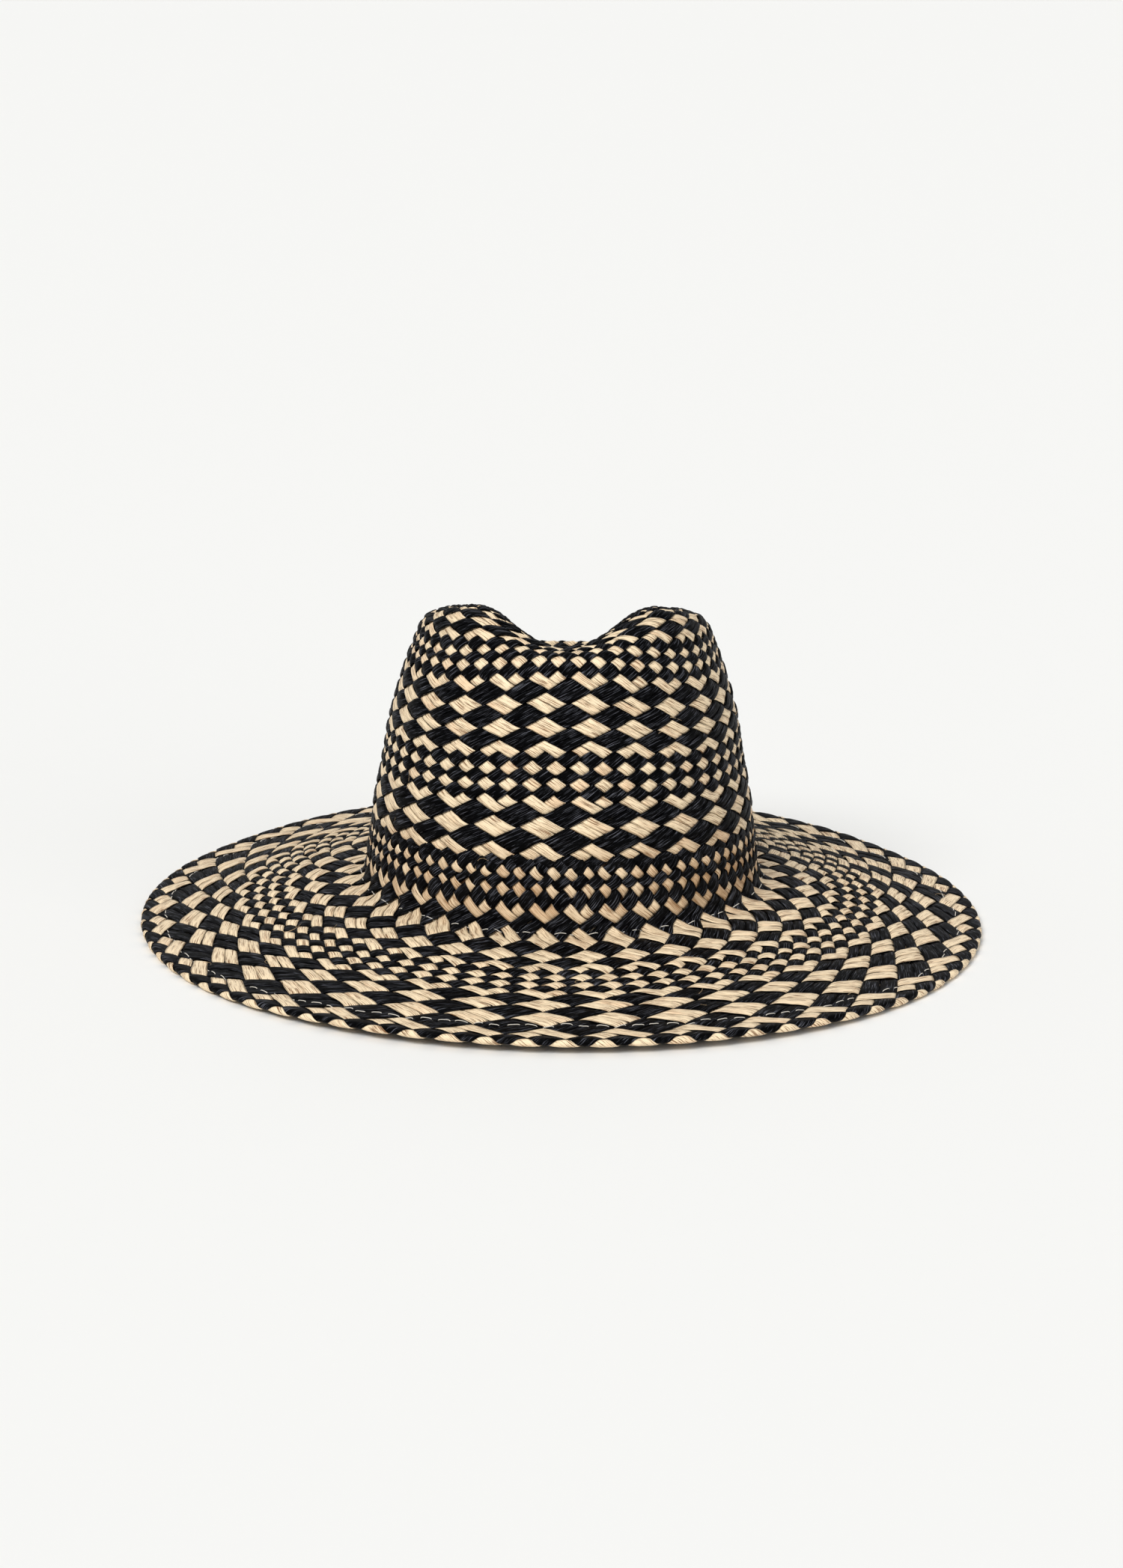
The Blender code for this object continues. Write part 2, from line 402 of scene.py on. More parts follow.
@dataclass(frozen=True)
class Fineness:
    """How finely a strip is meshed: places across it, and places along a cell.

    The places across go over the top from edge to edge, then back along the underside.
    """

    top: tuple[float, ...]
    under: tuple[float, ...]
    steps: tuple[float, ...]
    crown: float = 0.25
    shoulder: float = 0.33

    @property
    def across(self) -> Rows:
        """Places round the strip's section, as shares of half its width."""
        return np.array(self.top + self.under)

    @property
    def raised(self) -> Rows:
        """Share of the bulge at each place round the section."""
        over = np.array(self.top)
        bulge = 1.0 - self.crown * over**2 - self.shoulder * over**8
        return np.concatenate((bulge, np.zeros(len(self.under))))

    @property
    def beneath(self) -> Rows:
        """1 at the places on the underside, 0 on the top."""
        return np.repeat((0.0, 1.0), (len(self.top), len(self.under)))

    @property
    def along(self) -> Rows:
        """Places along a cell, in cells from its middle."""
        return np.array(self.steps)

    def places(self, first: int, last: int) -> Rows:
        """All the places along a strip from one row to another, in rows."""
        rows = np.arange(first, last + 1)[:, None] + self.along
        return np.append(rows.ravel(), last + 0.5)

    def spread(self, cells: Rows) -> Rows:
        """Spread one value a cell over the places along each strip.

        Args:
            cells: values by strip and cell, with one more cell at each end.

        Returns:
            Values by strip and place.
        """
        share = carried_over(self.along)
        before, here, after = cells[:, :-2], cells[:, 1:-1], cells[:, 2:]
        beside = np.where(self.along > 0, after[..., None], before[..., None])
        mixed = here[..., None] * (1 - share) + share * beside
        end = (here[:, -1:] + after[:, -1:]) / 2
        return np.concatenate((mixed.reshape(len(cells), -1), end), axis=1)


PLAIN = Fineness((-1.0, -0.62, 0.0, 0.62, 1.0), (0.6, -0.6), (-0.5, -0.32, 0.0, 0.32))
FINE = Fineness(
    tuple(np.linspace(-1.0, 1.0, 11)),
    (0.6, 0.0, -0.6),
    (-0.5, -0.4, -0.28, -0.14, 0.0, 0.14, 0.28, 0.4),
)

# In cells: how far from a cell's middle a strip stays level, and how long it takes to cross.
FLAT_PART, CROSSING = 0.12, 0.76


def carried_over(step: Rows) -> Rows:
    """Share of the next cell's value, at a step away from a cell's middle."""
    return eased((np.abs(step) - FLAT_PART) / CROSSING)


def hump(distance: Rows, middle: float, spread: float) -> Rows:
    """Rise from 0 to 1 and fall again, round one distance from the crown's foot."""
    return np.exp(-(((distance - middle) / spread) ** 2))


@dataclass(frozen=True)
class StripShape:
    """How one colour of straw lies: lengths are metres, widths are shares of a cell.

    On the brim a strip changes by brim_gain times the amounts in Places.
    """

    swing: float
    bulge: float
    thickness: float
    half_width: float
    raise_all: float
    close_up: float
    brim_gain: float
    under_share: float = 0.44

    def lift(self, state: Rows, bulge: Rows) -> Rows:
        """How far a strip stands off the weave's middle, where state is 1 over and -1 under."""
        full = (1.0 + self.under_share + (1.0 - self.under_share) * state) / 2
        return self.swing * state + self.raise_all + self.bulge * bulge * full


SHAPES = {
    Straw.NATURAL: StripShape(
        swing=0.00080, bulge=0.00042, thickness=0.00034, half_width=0.432,
        raise_all=-0.00020, close_up=0.074, brim_gain=1.0,
    ),
    Straw.BLACK: StripShape(
        swing=0.00064, bulge=0.00076, thickness=0.00036, half_width=0.540,
        raise_all=0.00016, close_up=0.0, brim_gain=-1.0,
    ),
}


@dataclass
class Chart:
    """Says which colour is on top where two strips cross.

    Args:
        rows: the natural rows.
        ragged: rows where a few checks are missing.
        uneven: rows whose strips differ more in width.
        scatter: steps by column and by row of the wave that picks the missing checks.
        missing_above: how high the wave is where a check is missing.
    """

    rows: tuple[ChartRow, ...]
    ragged: tuple[int, ...] = ()
    uneven: tuple[int, ...] = ()
    scatter: Pair = (37.7, 5.1)
    missing_above: float = 0.8

    def __post_init__(self) -> None:
        """Mark the natural rows, and the rows where only every other column is natural."""
        self.first = self.rows[0][0] - 2
        size = self.rows[-1][0] + 4 - self.first
        self.full, self.columns = np.zeros(size, bool), np.zeros(size, bool)
        self.paired, self.leaning = np.zeros(size, bool), np.zeros(size)
        for row, kind, _ in self.rows:
            k = row - self.first
            self.full[k] = kind is not Row.DARK
            self.paired[k] = kind in (Row.VEE, Row.BIG, Row.CUT)
            if kind in (Row.BIG, Row.CUT):
                self.columns[k - 1], self.leaning[k - 1] = True, 1.0
            if kind in (Row.BIG, Row.VEE):
                self.columns[k + 1], self.leaning[k + 1] = True, -1.0

    def _index(self, row: Rows) -> Rows:
        """Where a row's marks are."""
        return np.clip(row - self.first, 0, len(self.full) - 1)

    def natural_over(self, row: Rows, column: Rows) -> Rows:
        """Whether natural straw is on top at these rows and columns."""
        k, even = self._index(row), is_even(column)
        by_column, by_row = self.scatter
        scattered = np.sin(column * by_column + row * by_row)
        missing = np.isin(row, self.ragged) & (scattered > self.missing_above)
        return (self.full[k] & ~missing) | (self.columns[k] & even)

    def lean(self, row: Rows, column: Rows) -> Rows:
        """Which way natural strips close up where two of them make one big check."""
        k = self._index(row)
        pair = np.where(self.paired[k], np.where(is_even(column - 0.5), 1.0, -1.0), 0.0)
        return pair + np.where(is_even(column), self.leaning[k], 0.0)

    def distance(self, row: Rows) -> Rows:
        """Distance of a row from the crown's foot, in metres."""
        rows, _, millimetres = zip(*self.rows)
        return smooth_through(rows, np.array(millimetres) * 0.001, row)


def is_even(column: Rows) -> Rows:
    """Whether the nearest column is an even one."""
    return np.round(column).astype(int) % 2 == 0


@dataclass(frozen=True)
class Unevenness:
    """How much the strips differ.

    The first five are standard deviations from cell to cell, and strip_tone is one from strip
    to strip. No cell is wider than widest, a full tilt raises an edge by tilted_edge, and rows
    that are marked uneven differ uneven_row times as much in width and shift. Strips start
    anywhere in grain_length of the fibre pattern. The painted shade at the crown's foot and the
    browner band on the brim are from a least share to 1 strong, at random by strip, and weaker
    on the left, a painted lightening on the side the key light comes from.
    """

    width: float = 0.055
    shift: float = 0.026
    raised: float = 0.13
    tilt: float = 0.16
    tone: float = 0.5
    strip_tone: float = 0.7
    widest: float = 1.09
    tilted_edge: float = 0.0004
    uneven_row: float = 3.0
    grain_length: float = 900.0
    least_darkening: float = 0.15
    # How much lighter the left side is painted, as if lit by the key light.
    painted_side_light: float = 0.25


@dataclass(frozen=True)
class Places:
    """What changes with the distance from the crown's foot.

    Lengths are metres. Each pair is the middle and the spread of a hump.
    """

    brim_from: float = 0.008
    brim_over: float = 0.016
    brim_wider: float = 0.034
    brim_steadier: float = 0.45
    brim_raise: float = 0.00024
    brim_arch: float = 0.00030
    brim_taper: float = 0.13
    foot_at: Pair = (-0.019, 0.0095)
    foot_narrower: float = 0.17
    points_at: Pair = (0.0030, 0.0032)
    points_narrower: float = 0.08
    # Painted shade at the crown's foot, drawn into the straw's colour: its hump and its strength.
    foot_shade_at: Pair = (-0.014, 0.018)
    foot_shade: float = 1.25
    # A browner band on the brim, only on the strips that darken most.
    brim_browning_at: Pair = (0.049, 0.009)
    brim_browning_above: float = 0.55
    hem_flatter: float = 0.42
    hem_from: float = 0.030
    hem_over: float = 0.010


@dataclass
class Weave:
    """A ring of the hat plaited with the same number of strips all through.

    Args:
        form: the blocked hat.
        chart: which strip is on top.
        strips: how many strips of each colour.
        first: first row.
        last: last row.
        phase: angle of column 0, for a distance from the crown's foot.
        seed: seeds the small differences among natural strips.
        black_seed: what is added to the seed for black ones.
        dive: how far the ends sink into the next ring.
        dive_rows: where the ends sink, in rows from the end, and over how many.
        open_end: whether the last rows stay up.
        mesh: how finely strips are meshed.
        uneven: how much the strips differ.
        places: what changes with the distance.
        fine_rows: how finely rows are looked up by distance.
    """

    form: HatForm
    chart: Chart
    strips: int
    first: int
    last: int
    phase: Callable[[Rows], Rows]
    seed: int
    black_seed: int = 500
    dive: float = 0.0010
    dive_rows: Pair = (0.6, 1.1)
    open_end: bool = False
    mesh: Fineness = PLAIN
    uneven: Unevenness = Unevenness()
    places: Places = Places()
    fine_rows: int = 2000

    def _states(self, straw: Straw) -> tuple[Rows, Rows]:
        """Whether strips are over (1) or under (-1), and their lean, also just past each end."""
        rows = np.arange(self.first - 1, self.last + 2)
        column = straw.side * (rows[None, :] / 2 - np.arange(self.strips)[:, None])
        over = np.where(self.chart.natural_over(rows[None, :], column), 1.0, -1.0)
        return over * straw.side, self.chart.lean(rows[None, :], column)

    def relief(self, distance: Rows) -> Rows:
        """How strongly the strips swing: less where the hem doubles the weave."""
        start = self.form.rim_distance - self.places.hem_from
        return 1.0 - self.places.hem_flatter * eased((distance - start) / self.places.hem_over)

    def _half_width(self, straw: Straw, rows: Rows, state: Rows, fuller: Rows) -> Rows:
        """Half a strip's width, in cells, before its own unevenness."""
        at = self.places
        half = SHAPES[straw].half_width + at.brim_wider * fuller
        if straw is Straw.BLACK:
            return half
        distance = self.chart.distance(rows)
        foot = at.foot_narrower * hump(distance, *at.foot_at)
        points = at.points_narrower * hump(distance, *at.points_at)
        taper = at.brim_taper * fuller * np.maximum(1.0 - state, 0.0)
        return half * (1.0 - foot - points) * (1.0 - taper)

    def strips_mesh(
        self, name: str, straw: Straw, first: int | None = None, last: int | None = None
    ) -> Thing:
        """Make one colour's strips between two rows.

        Args:
            name: the piece's name.
            straw: which colour.
            first: first row to make, if not the ring's own.
            last: last row to make, if not the ring's own.

        Returns:
            The strips, as closed flat tubes joined into one mesh.
        """
        draw = np.random.default_rng(self.seed + self.black_seed * (straw is Straw.BLACK))
        shape, mesh, by, at = SHAPES[straw], self.mesh, self.uneven, self.places
        all_rows = np.arange(self.first - 1, self.last + 2)
        size, one_each = (self.strips, len(all_rows)), (self.strips, 1)
        state, lean = (mesh.spread(cells) for cells in self._states(straw))
        rough = 1.0 + (by.uneven_row - 1.0) * np.isin(all_rows, self.chart.uneven)
        width = mesh.spread(draw.normal(1.0, by.width, size) ** rough)
        shift = mesh.spread(draw.normal(0.0, by.shift, size) * rough) + shape.close_up * lean
        raised = mesh.spread(draw.normal(1.0, by.raised, size))
        tilt = mesh.spread(draw.normal(0.0, by.tilt, size))
        tone = mesh.spread(draw.normal(0.0, by.tone, size))
        tone = tone + draw.normal(0.0, by.strip_tone, one_each)
        grain = draw.uniform(0.0, by.grain_length, (self.strips, 1, 1))

        cell = len(mesh.along)
        first = self.first if first is None else first
        last = self.last if last is None else last
        keep = slice((first - self.first) * cell, (last - self.first + 1) * cell + 1)
        rows = mesh.places(self.first, self.last)[None, keep, None]
        state, width, shift, raised, tilt, tone = (
            values[:, keep, None] for values in (state, width, shift, raised, tilt, tone)
        )
        brim = eased((self.chart.distance(rows) - at.brim_from) / at.brim_over)
        fuller = shape.brim_gain * brim
        half = self._half_width(straw, rows, state, fuller) * np.minimum(width, by.widest)
        cross = mesh.across * half + shift * (1.0 - at.brim_steadier * brim)
        strip = np.arange(self.strips)[:, None, None]
        column = straw.side * (rows / 2 - strip - cross / 2)
        distance = self.chart.distance(rows + cross)
        angle = 2 * math.pi * column / self.strips + self.phase(distance)

        lift = shape.lift(state, raised * mesh.raised) + at.brim_raise * fuller
        lift = lift + at.brim_arch * np.maximum(fuller * state, 0.0) * mesh.raised
        lift = lift + by.tilted_edge * tilt * mesh.across - shape.thickness * mesh.beneath
        start, over = self.dive_rows
        sunk = eased((self.first + start - rows) / over)
        if not self.open_end:
            sunk = sunk + eased((rows - self.last + start) / over)
        lift = (lift - self.dive * sunk) * self.relief(distance)
        points = self.form.lifted(self.form.way(distance, angle), angle, lift)

        # Painted shade at the crown's foot, stronger on some strips than others at random and
        # painted lighter on the left, where the key light falls; the most darkened strips also
        # get a browner band on the brim.
        darkening = draw.uniform(by.least_darkening, 1.0, (self.strips, 1, 1))
        darkening = darkening * (1.0 - by.painted_side_light + by.painted_side_light * np.sin(angle))
        shade_and_browning = at.foot_shade * darkening * hump(distance, *at.foot_shade_at)
        worst = np.maximum(darkening - at.brim_browning_above, 0.0)
        shade_and_browning = shade_and_browning + worst * hump(distance, *at.brim_browning_at)
        values = {"tone": np.broadcast_to(tone, points.shape[:3]), "shade_and_browning": shade_and_browning}
        return joined_tubes(name, points, self._flat(points, grain), values)

    def _flat(self, points: Rows, grain: Rows) -> Rows:
        """UV places in millimetres, across and along each strip, for its fibres.

        Args:
            points: places by strip, ring, point of the ring, and axis.
            grain: where in the pattern each strip starts.

        Returns:
            UV places of the same points.
        """
        middle = points[:, :, len(self.mesh.top) // 2]
        steps = np.linalg.norm(np.diff(middle, axis=1), axis=-1)
        run = np.pad(np.cumsum(steps, axis=1), ((0, 0), (1, 0)))
        edge = len(self.mesh.top) - 1
        half = np.linalg.norm(points[:, :, edge] - points[:, :, 0], axis=-1) * MILLIMETRES / 2
        across = self.mesh.across * (USUAL_HALF * (half / USUAL_HALF) ** FIBRE_SPREAD)[:, :, None]
        along = np.broadcast_to(run[:, :, None] * MILLIMETRES + grain, points.shape[:3])
        return np.stack((across, along), axis=-1)

    def height_of(self, straw: Straw, distance: Rows, angle: Rows) -> Rows:
        """How far one colour's upper face stands off the weave's middle.

        Args:
            straw: which colour.
            distance: places down the front from the crown's foot.
            angle: angles round from the front.

        Returns:
            The height of the nearest strip at each place.
        """
        fine = np.linspace(self.first, self.last, self.fine_rows)
        row = np.interp(distance, self.chart.distance(fine), fine)
        column = (angle - self.phase(distance)) * self.strips / (2 * math.pi)
        shape, place = SHAPES[straw], row / 2 - straw.side * column
        index = np.round(place)
        cross = place - index
        cell = np.round(row - cross)
        step = row - cross - cell
        near, far = (
            np.where(self.chart.natural_over(r, straw.side * (r / 2 - index)), 1.0, -1.0)
            for r in (cell.astype(int), (cell + np.sign(step)).astype(int))
        )
        share = carried_over(step)
        state = straw.side * (near * (1 - share) + far * share)
        bulge = 1.0 - np.minimum(np.abs(cross / shape.half_width), 1.0) ** 2
        return shape.lift(state, bulge) * self.relief(distance)


@dataclass
class CentrePatch:
    """The square of plain weave that the hat is begun with, in the middle of the tip."""

    form: HatForm
    strips: int = 10
    pitch: float = 0.0032
    seed: int = 77
    mesh: Fineness = PLAIN
    uneven: float = 0.04
    tone: float = 0.6
    sink: float = 0.0009
    sink_from: float = 0.0125
    sink_over: float = 0.004

    def strips_mesh(self, name: str, straw: Straw) -> Thing:
        """Make one colour's strips of the patch, which lie square to the other's."""
        draw = np.random.default_rng(self.seed + straw.side)
        shape, mesh, one_each = SHAPES[straw], self.mesh, (self.strips, 1, 1)
        strip, half = np.arange(self.strips)[:, None], (self.strips - 1) / 2
        over = (strip + np.arange(self.strips + 2)) % 2 * 2.0 - 1.0
        state = mesh.spread(over * straw.side)[:, :, None]
        along = (mesh.places(0, self.strips - 1)[None, :, None] - half) * self.pitch
        wide = mesh.across * shape.half_width * draw.normal(1.0, self.uneven, one_each)
        beside = (strip[:, :, None] - half + wide) * self.pitch
        along, beside = np.broadcast_arrays(along, beside)
        first, second = (along, beside) if straw is Straw.NATURAL else (beside, along)
        x, y = (first - second) / math.sqrt(2), (first + second) / math.sqrt(2)
        y = y * self.form.wall_radii[-1]
        radius, angle = np.hypot(x, y), np.arctan2(x, -y)
        lift = shape.lift(state, mesh.raised) - shape.thickness * mesh.beneath
        lift = lift - self.sink * eased((radius - self.sink_from) / self.sink_over)
        points = self.form.lifted(radius, angle, lift)
        across = np.broadcast_to(mesh.across * self.pitch * MILLIMETRES / 2, along.shape)
        tone = np.broadcast_to(draw.normal(0.0, self.tone, one_each), along.shape)
        values = {"tone": tone, "shade_and_browning": np.zeros_like(tone)}
        flat = np.stack((across, along * MILLIMETRES), axis=-1)
        return joined_tubes(name, points, flat, values)


def joined_tubes(
    name: str, points: Rows, flat: Rows | None = None, values: dict[str, Rows] | None = None
) -> Thing:
    """Join closed tubes into one mesh.

    Args:
        name: the object's name.
        points: places by tube, ring, point of the ring, and axis.
        flat: UV places of the same points.
        values: a number for each point, by attribute name.

    Returns:
        The new object, smooth, with its faces pointing out.
    """
    tubes, rings, sides = points.shape[:3]
    grid = np.arange(tubes * rings * sides).reshape(tubes, rings, sides)
    here, there = grid[:, :-1], grid[:, 1:]
    quads = np.stack(
        (here, np.roll(here, -1, axis=2), np.roll(there, -1, axis=2), there), axis=-1
    ).reshape(-1, 4)
    vertices = points.reshape(-1, 3)
    a, b, c, d = (vertices[quads[:, k]] for k in range(4))
    volume = np.einsum("ij,ij->i", a, np.cross(b, c) + np.cross(c, d)).sum()
    starts, ends = grid[:, 0], grid[:, -1, ::-1]
    if volume < 0:
        quads, starts, ends = quads[:, ::-1], starts[:, ::-1], ends[:, ::-1]
    faces = quads.tolist() + starts[:, ::-1].tolist() + ends[:, ::-1].tolist()
    mesh = bpy.data.meshes.new(name)
    mesh.from_pydata(vertices.tolist(), [], faces)
    mesh.polygons.foreach_set("use_smooth", np.ones(len(faces), bool))
    if flat is not None:
        order = np.empty(len(mesh.loops), int)
        mesh.loops.foreach_get("vertex_index", order)
        layer = mesh.uv_layers.new(name="Straw")
        layer.data.foreach_set("uv", flat.reshape(-1, 2)[order].astype(np.float32).ravel())
    for key, numbers in (values or {}).items():
        attribute = mesh.attributes.new(key, "FLOAT", "POINT")
        attribute.data.foreach_set("value", numbers.astype(np.float32).ravel())
    mesh.update()
    thing = bpy.data.objects.new(name, mesh)
    bpy.context.scene.collection.objects.link(thing)
    return thing


def round_tubes(paths: Rows, radius: Rows | float, sides: int = 6) -> Rows:
    """Rings round some paths.

    Args:
        paths: places by path, step and axis.
        radius: radius, or one for each step.
        sides: points in a ring.

    Returns:
        Places by path, step, point of the ring, and axis.
    """
    run = unit(np.gradient(paths, axis=1))
    aside = unit(np.cross(run, UPWARDS))
    up = np.cross(aside, run)
    turn = np.arange(sides) * 2 * math.pi / sides
    size = np.broadcast_to(radius, paths.shape[:2])[..., None, None]
    return paths[:, :, None] + size * (
        aside[:, :, None] * np.cos(turn)[:, None] + up[:, :, None] * np.sin(turn)[:, None]
    )


def sums(operation: str) -> tuple[Callable[..., "Wire"], Callable[..., "Wire"]]:
    """Make an operator of Wire, and its reflected form, out of what a maths node does."""
    return (
        lambda self, other: self.maths(operation, self, other),
        lambda self, other: self.maths(operation, other, self),
    )


class Wire:
    """A shader value, which adds its own maths nodes when it is used in a sum."""

    def __init__(self, maker: "MaterialMaker", socket: Any) -> None:
        """Keep the socket and the maker whose tree it is in."""
        self.maker, self.socket = maker, socket

    def maths(self, operation: str, *values: Any) -> "Wire":
        """Add one maths node."""
        sockets = dict(enumerate(values))
        return self.maker.node("ShaderNodeMath", {"operation": operation}, sockets)

    __add__, __radd__ = sums("ADD")
    __sub__, __rsub__ = sums("SUBTRACT")
    __mul__, __rmul__ = sums("MULTIPLY")

    def clipped(self) -> "Wire":
        """Keep between 0 and 1."""
        return self.maths("MINIMUM", self.maths("MAXIMUM", self, 0.0), 1.0)

    def between(self, low: float, high: float) -> "Wire":
        """Rise smoothly from 0 at low to 1 at high."""
        settings = {"interpolation_type": "SMOOTHSTEP"}
        return self.maker.node("ShaderNodeMapRange", settings, {0: self, 1: low, 2: high})


class MaterialMaker:
    """Builds one material's node tree."""

    def __init__(self, name: str) -> None:
        """Start a material with a Principled shader."""
        self.material = bpy.data.materials.new(name)
        self.material.use_nodes = True
        self.tree = self.material.node_tree
        self.shader = next(n for n in self.tree.nodes if n.type == "BSDF_PRINCIPLED")

    def node(
        self, kind: str, settings: Any = None, sockets: Any = None, output: Any = 0
    ) -> Wire:
        """Add any node.

        Args:
            kind: the node's type.
            settings: its settings, by name.
            sockets: values or wires for its inputs, by name or number.
            output: which output to give back.

        Returns:
            The output, wrapped.
        """
        node = self.tree.nodes.new(kind)
        for key, value in (settings or {}).items():
            setattr(node, key, value)
        for key, value in (sockets or {}).items():
            self.set(node.inputs[key], value)
        return Wire(self, node.outputs[output])

    def set(self, socket: Any, value: Any) -> None:
        """Link a wire to a socket, or give the socket a value."""
        if isinstance(value, Wire):
            self.tree.links.new(value.socket, socket)
        else:
            socket.default_value = value

    def blend(self, share: Any, first: Any, second: Any) -> Wire:
        """Mix two colours."""
        colours = [(*c, 1.0) if isinstance(c, tuple) else c for c in (first, second)]
        sockets = {0: share, 6: colours[0], 7: colours[1]}
        return self.node("ShaderNodeMix", {"data_type": "RGBA"}, sockets, output=2)

    def scaled(self, vector: Wire, scale: Triple) -> Wire:
        """Stretch a vector."""
        return self.node("ShaderNodeVectorMath", {"operation": "MULTIPLY"}, {0: vector, 1: scale})

    def attribute(self, name: str) -> Wire:
        """Read a number that the mesh carries."""
        return self.node("ShaderNodeAttribute", {"attribute_name": name}, output="Fac")

    def noise(self, vector: Wire, scale: float, detail: float = 2.0, rough: float = 0.5) -> Wire:
        """Add noise."""
        sockets = {"Vector": vector, "Scale": scale, "Detail": detail, "Roughness": rough}
        return self.node("ShaderNodeTexNoise", {}, sockets)

    def bump(self, height: Wire, depth: float, strength: float) -> Wire:
        """Tilt the surface by a height."""
        sockets = {"Strength": strength, "Distance": depth, "Height": height}
        return self.node("ShaderNodeBump", {}, sockets)

    def finish(self, **values: Any) -> bpy.types.Material:
        """Set the shader's own sockets and give the material back."""
        for key, value in values.items():
            name = key.replace("_", " ").title().replace("Ior", "IOR")
            self.set(self.shader.inputs[name], value)
        return self.material


@dataclass(frozen=True)
class StrawFinish:
    """Dried, split straw: fine fibres run along it, with a few splits and darker streaks. Its
    colour also carries painted shade at the crown's foot, and on black straw painted glints along
    the fibres.
    """

    name: str
    pale: Triple
    middle: Triple
    streak: Triple
    # Colour of the painted shade at the crown's foot and of the brim's browner band.
    shade_and_browning_colour: Triple
    rough_low: float
    rough_high: float
    streak_share: float
    ridge: float
    # Painted highlights: how strongly glints along the fibres are drawn into the colour, and
    # their colour.
    painted_glint_share: float = 0.0
    painted_glint_colour: Triple = (0.205, 0.212, 0.250)
    gloss: float = 0.42
    fibre_scale: Triple = (1.5, 0.055, 1.0)
    thread_scale: Triple = (3.1, 0.095, 1.0)
    patch_scale: Triple = (0.34, 0.11, 1.0)
    split_threads: Pair = (0.53, 0.61)
    lit_threads: Pair = (0.55, 0.62)
    lit_fibres: Pair = (0.38, 0.54)
    strength: float = 0.8

    def make(self) -> bpy.types.Material:
        """Build the material on the strips' own UV map, in millimetres."""
        m = MaterialMaker(self.name)
        flat = m.node("ShaderNodeUVMap", {"uv_map": "Straw"})
        tone, shade_and_browning = m.attribute("tone"), m.attribute("shade_and_browning")
        fibres = m.noise(m.scaled(flat, self.fibre_scale), 1.0, 3.0, 0.6)
        threads = m.noise(m.scaled(flat, self.thread_scale), 1.0, 2.5, 0.6)
        patches = m.noise(m.scaled(flat, self.patch_scale), 1.0, 2.0, 0.5)
        body = (patches * 1.1 + tone * 0.15 + fibres * 1.25 - 1.20).clipped()
        colour = m.blend(body, self.pale, self.middle)
        streaks = threads.between(*self.split_threads) * (0.45 + fibres * 1.4)
        colour = m.blend((streaks * self.streak_share).clipped(), colour, self.streak)
        # Paints the shade at the crown's foot, and the brim's browner band, into the colour.
        colour = m.blend((shade_and_browning * (0.38 + fibres * 0.8)).clipped(), colour, self.shade_and_browning_colour)
        height = fibres * 0.7 + threads * 0.5 - streaks * 0.35
        rough = self.rough_low + (self.rough_high - self.rough_low) * fibres
        if self.painted_glint_share:
            # Paints glints along the fibres into the colour, as painted highlights.
            lit = threads.between(*self.lit_threads) * fibres.between(*self.lit_fibres)
            colour = m.blend(lit * self.painted_glint_share, colour, self.painted_glint_colour)
        normal = m.bump(height, self.ridge, self.strength)
        return m.finish(
            base_color=colour, roughness=rough, normal=normal, specular_ior_level=self.gloss
        )


@dataclass(frozen=True)
class PlainFinish:
    """Leather, thread, fibre or floor: two near colours in patches, with a grain."""

    name: str
    colour: Triple
    other: Triple
    rough: float
    grain: float
    grain_depth: float
    strength: float = 0.6

    def make(self) -> bpy.types.Material:
        """Build the material on Object coordinates."""
        m = MaterialMaker(self.name)
        place = m.node("ShaderNodeTexCoord", output="Object")
        broad = m.noise(place, self.grain * 0.08, 3.0, 0.6)
        fine = m.noise(place, self.grain, 3.0, 0.6)
        colour = m.blend((broad * 0.8 + fine * 0.5 - 0.15).clipped(), self.colour, self.other)
        looks = {"base_color": colour, "roughness": self.rough}
        if self.grain_depth:
            looks["normal"] = m.bump(fine, self.grain_depth, self.strength)
        return m.finish(**looks)


NATURAL = StrawFinish(
    "natural straw",
    pale=(0.95, 0.765, 0.515),
    middle=(0.87, 0.555, 0.325),
    streak=(0.23, 0.105, 0.036),
    # Brown of the painted shade at the crown's foot and of the brim's band.
    shade_and_browning_colour=(0.47, 0.245, 0.095),
    rough_low=0.42,
    rough_high=0.62,
    streak_share=0.85,
    ridge=0.00034,
)
BLACK = StrawFinish(
    "black straw",
    pale=(0.0009, 0.0009, 0.0012),
    middle=(0.0016, 0.0016, 0.0024),
    streak=(0.0020, 0.0020, 0.0025),
    shade_and_browning_colour=(0.0050, 0.0045, 0.0045),
    rough_low=0.34,
    rough_high=0.56,
    streak_share=0.8,
    ridge=0.00055,
    # Painted bluish glints along the black fibres.
    painted_glint_share=0.54,
    gloss=0.030,
)
LEATHER = PlainFinish(
    "band leather", (0.205, 0.098, 0.043), (0.150, 0.066, 0.028), 0.52, 1500.0, 0.00012
)
THREAD = PlainFinish("thread", (0.80, 0.76, 0.68), (0.66, 0.61, 0.53), 0.6, 2400.0, 0.00006)
NATURAL_FIBRE = PlainFinish(
    "loose fibre", (0.78, 0.58, 0.36), (0.60, 0.40, 0.20), 0.55, 600.0, 0.0
)
FLOOR = PlainFinish("pale floor", (0.90, 0.90, 0.885), (0.90, 0.90, 0.885), 0.9, 4.0, 0.0)

FINISHES = {Straw.NATURAL: NATURAL, Straw.BLACK: BLACK}


def deliver(thing: Thing, material: bpy.types.Material, slot: str, *nodes: str) -> None:
    """Dress a finished piece, hang it on the root, and hide the CAD nodes it stands for.

    Args:
        thing: the piece.
        material: its material.
        slot: the record's material slot; not used.
        nodes: CAD nodes that it stands for.
    """
    thing.data.materials.clear()
    thing.data.materials.append(material)
    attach(thing, ROOT)
    if nodes:
        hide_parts(*nodes)
    LOG.info("%s: %d faces", thing.name, len(thing.data.polygons))


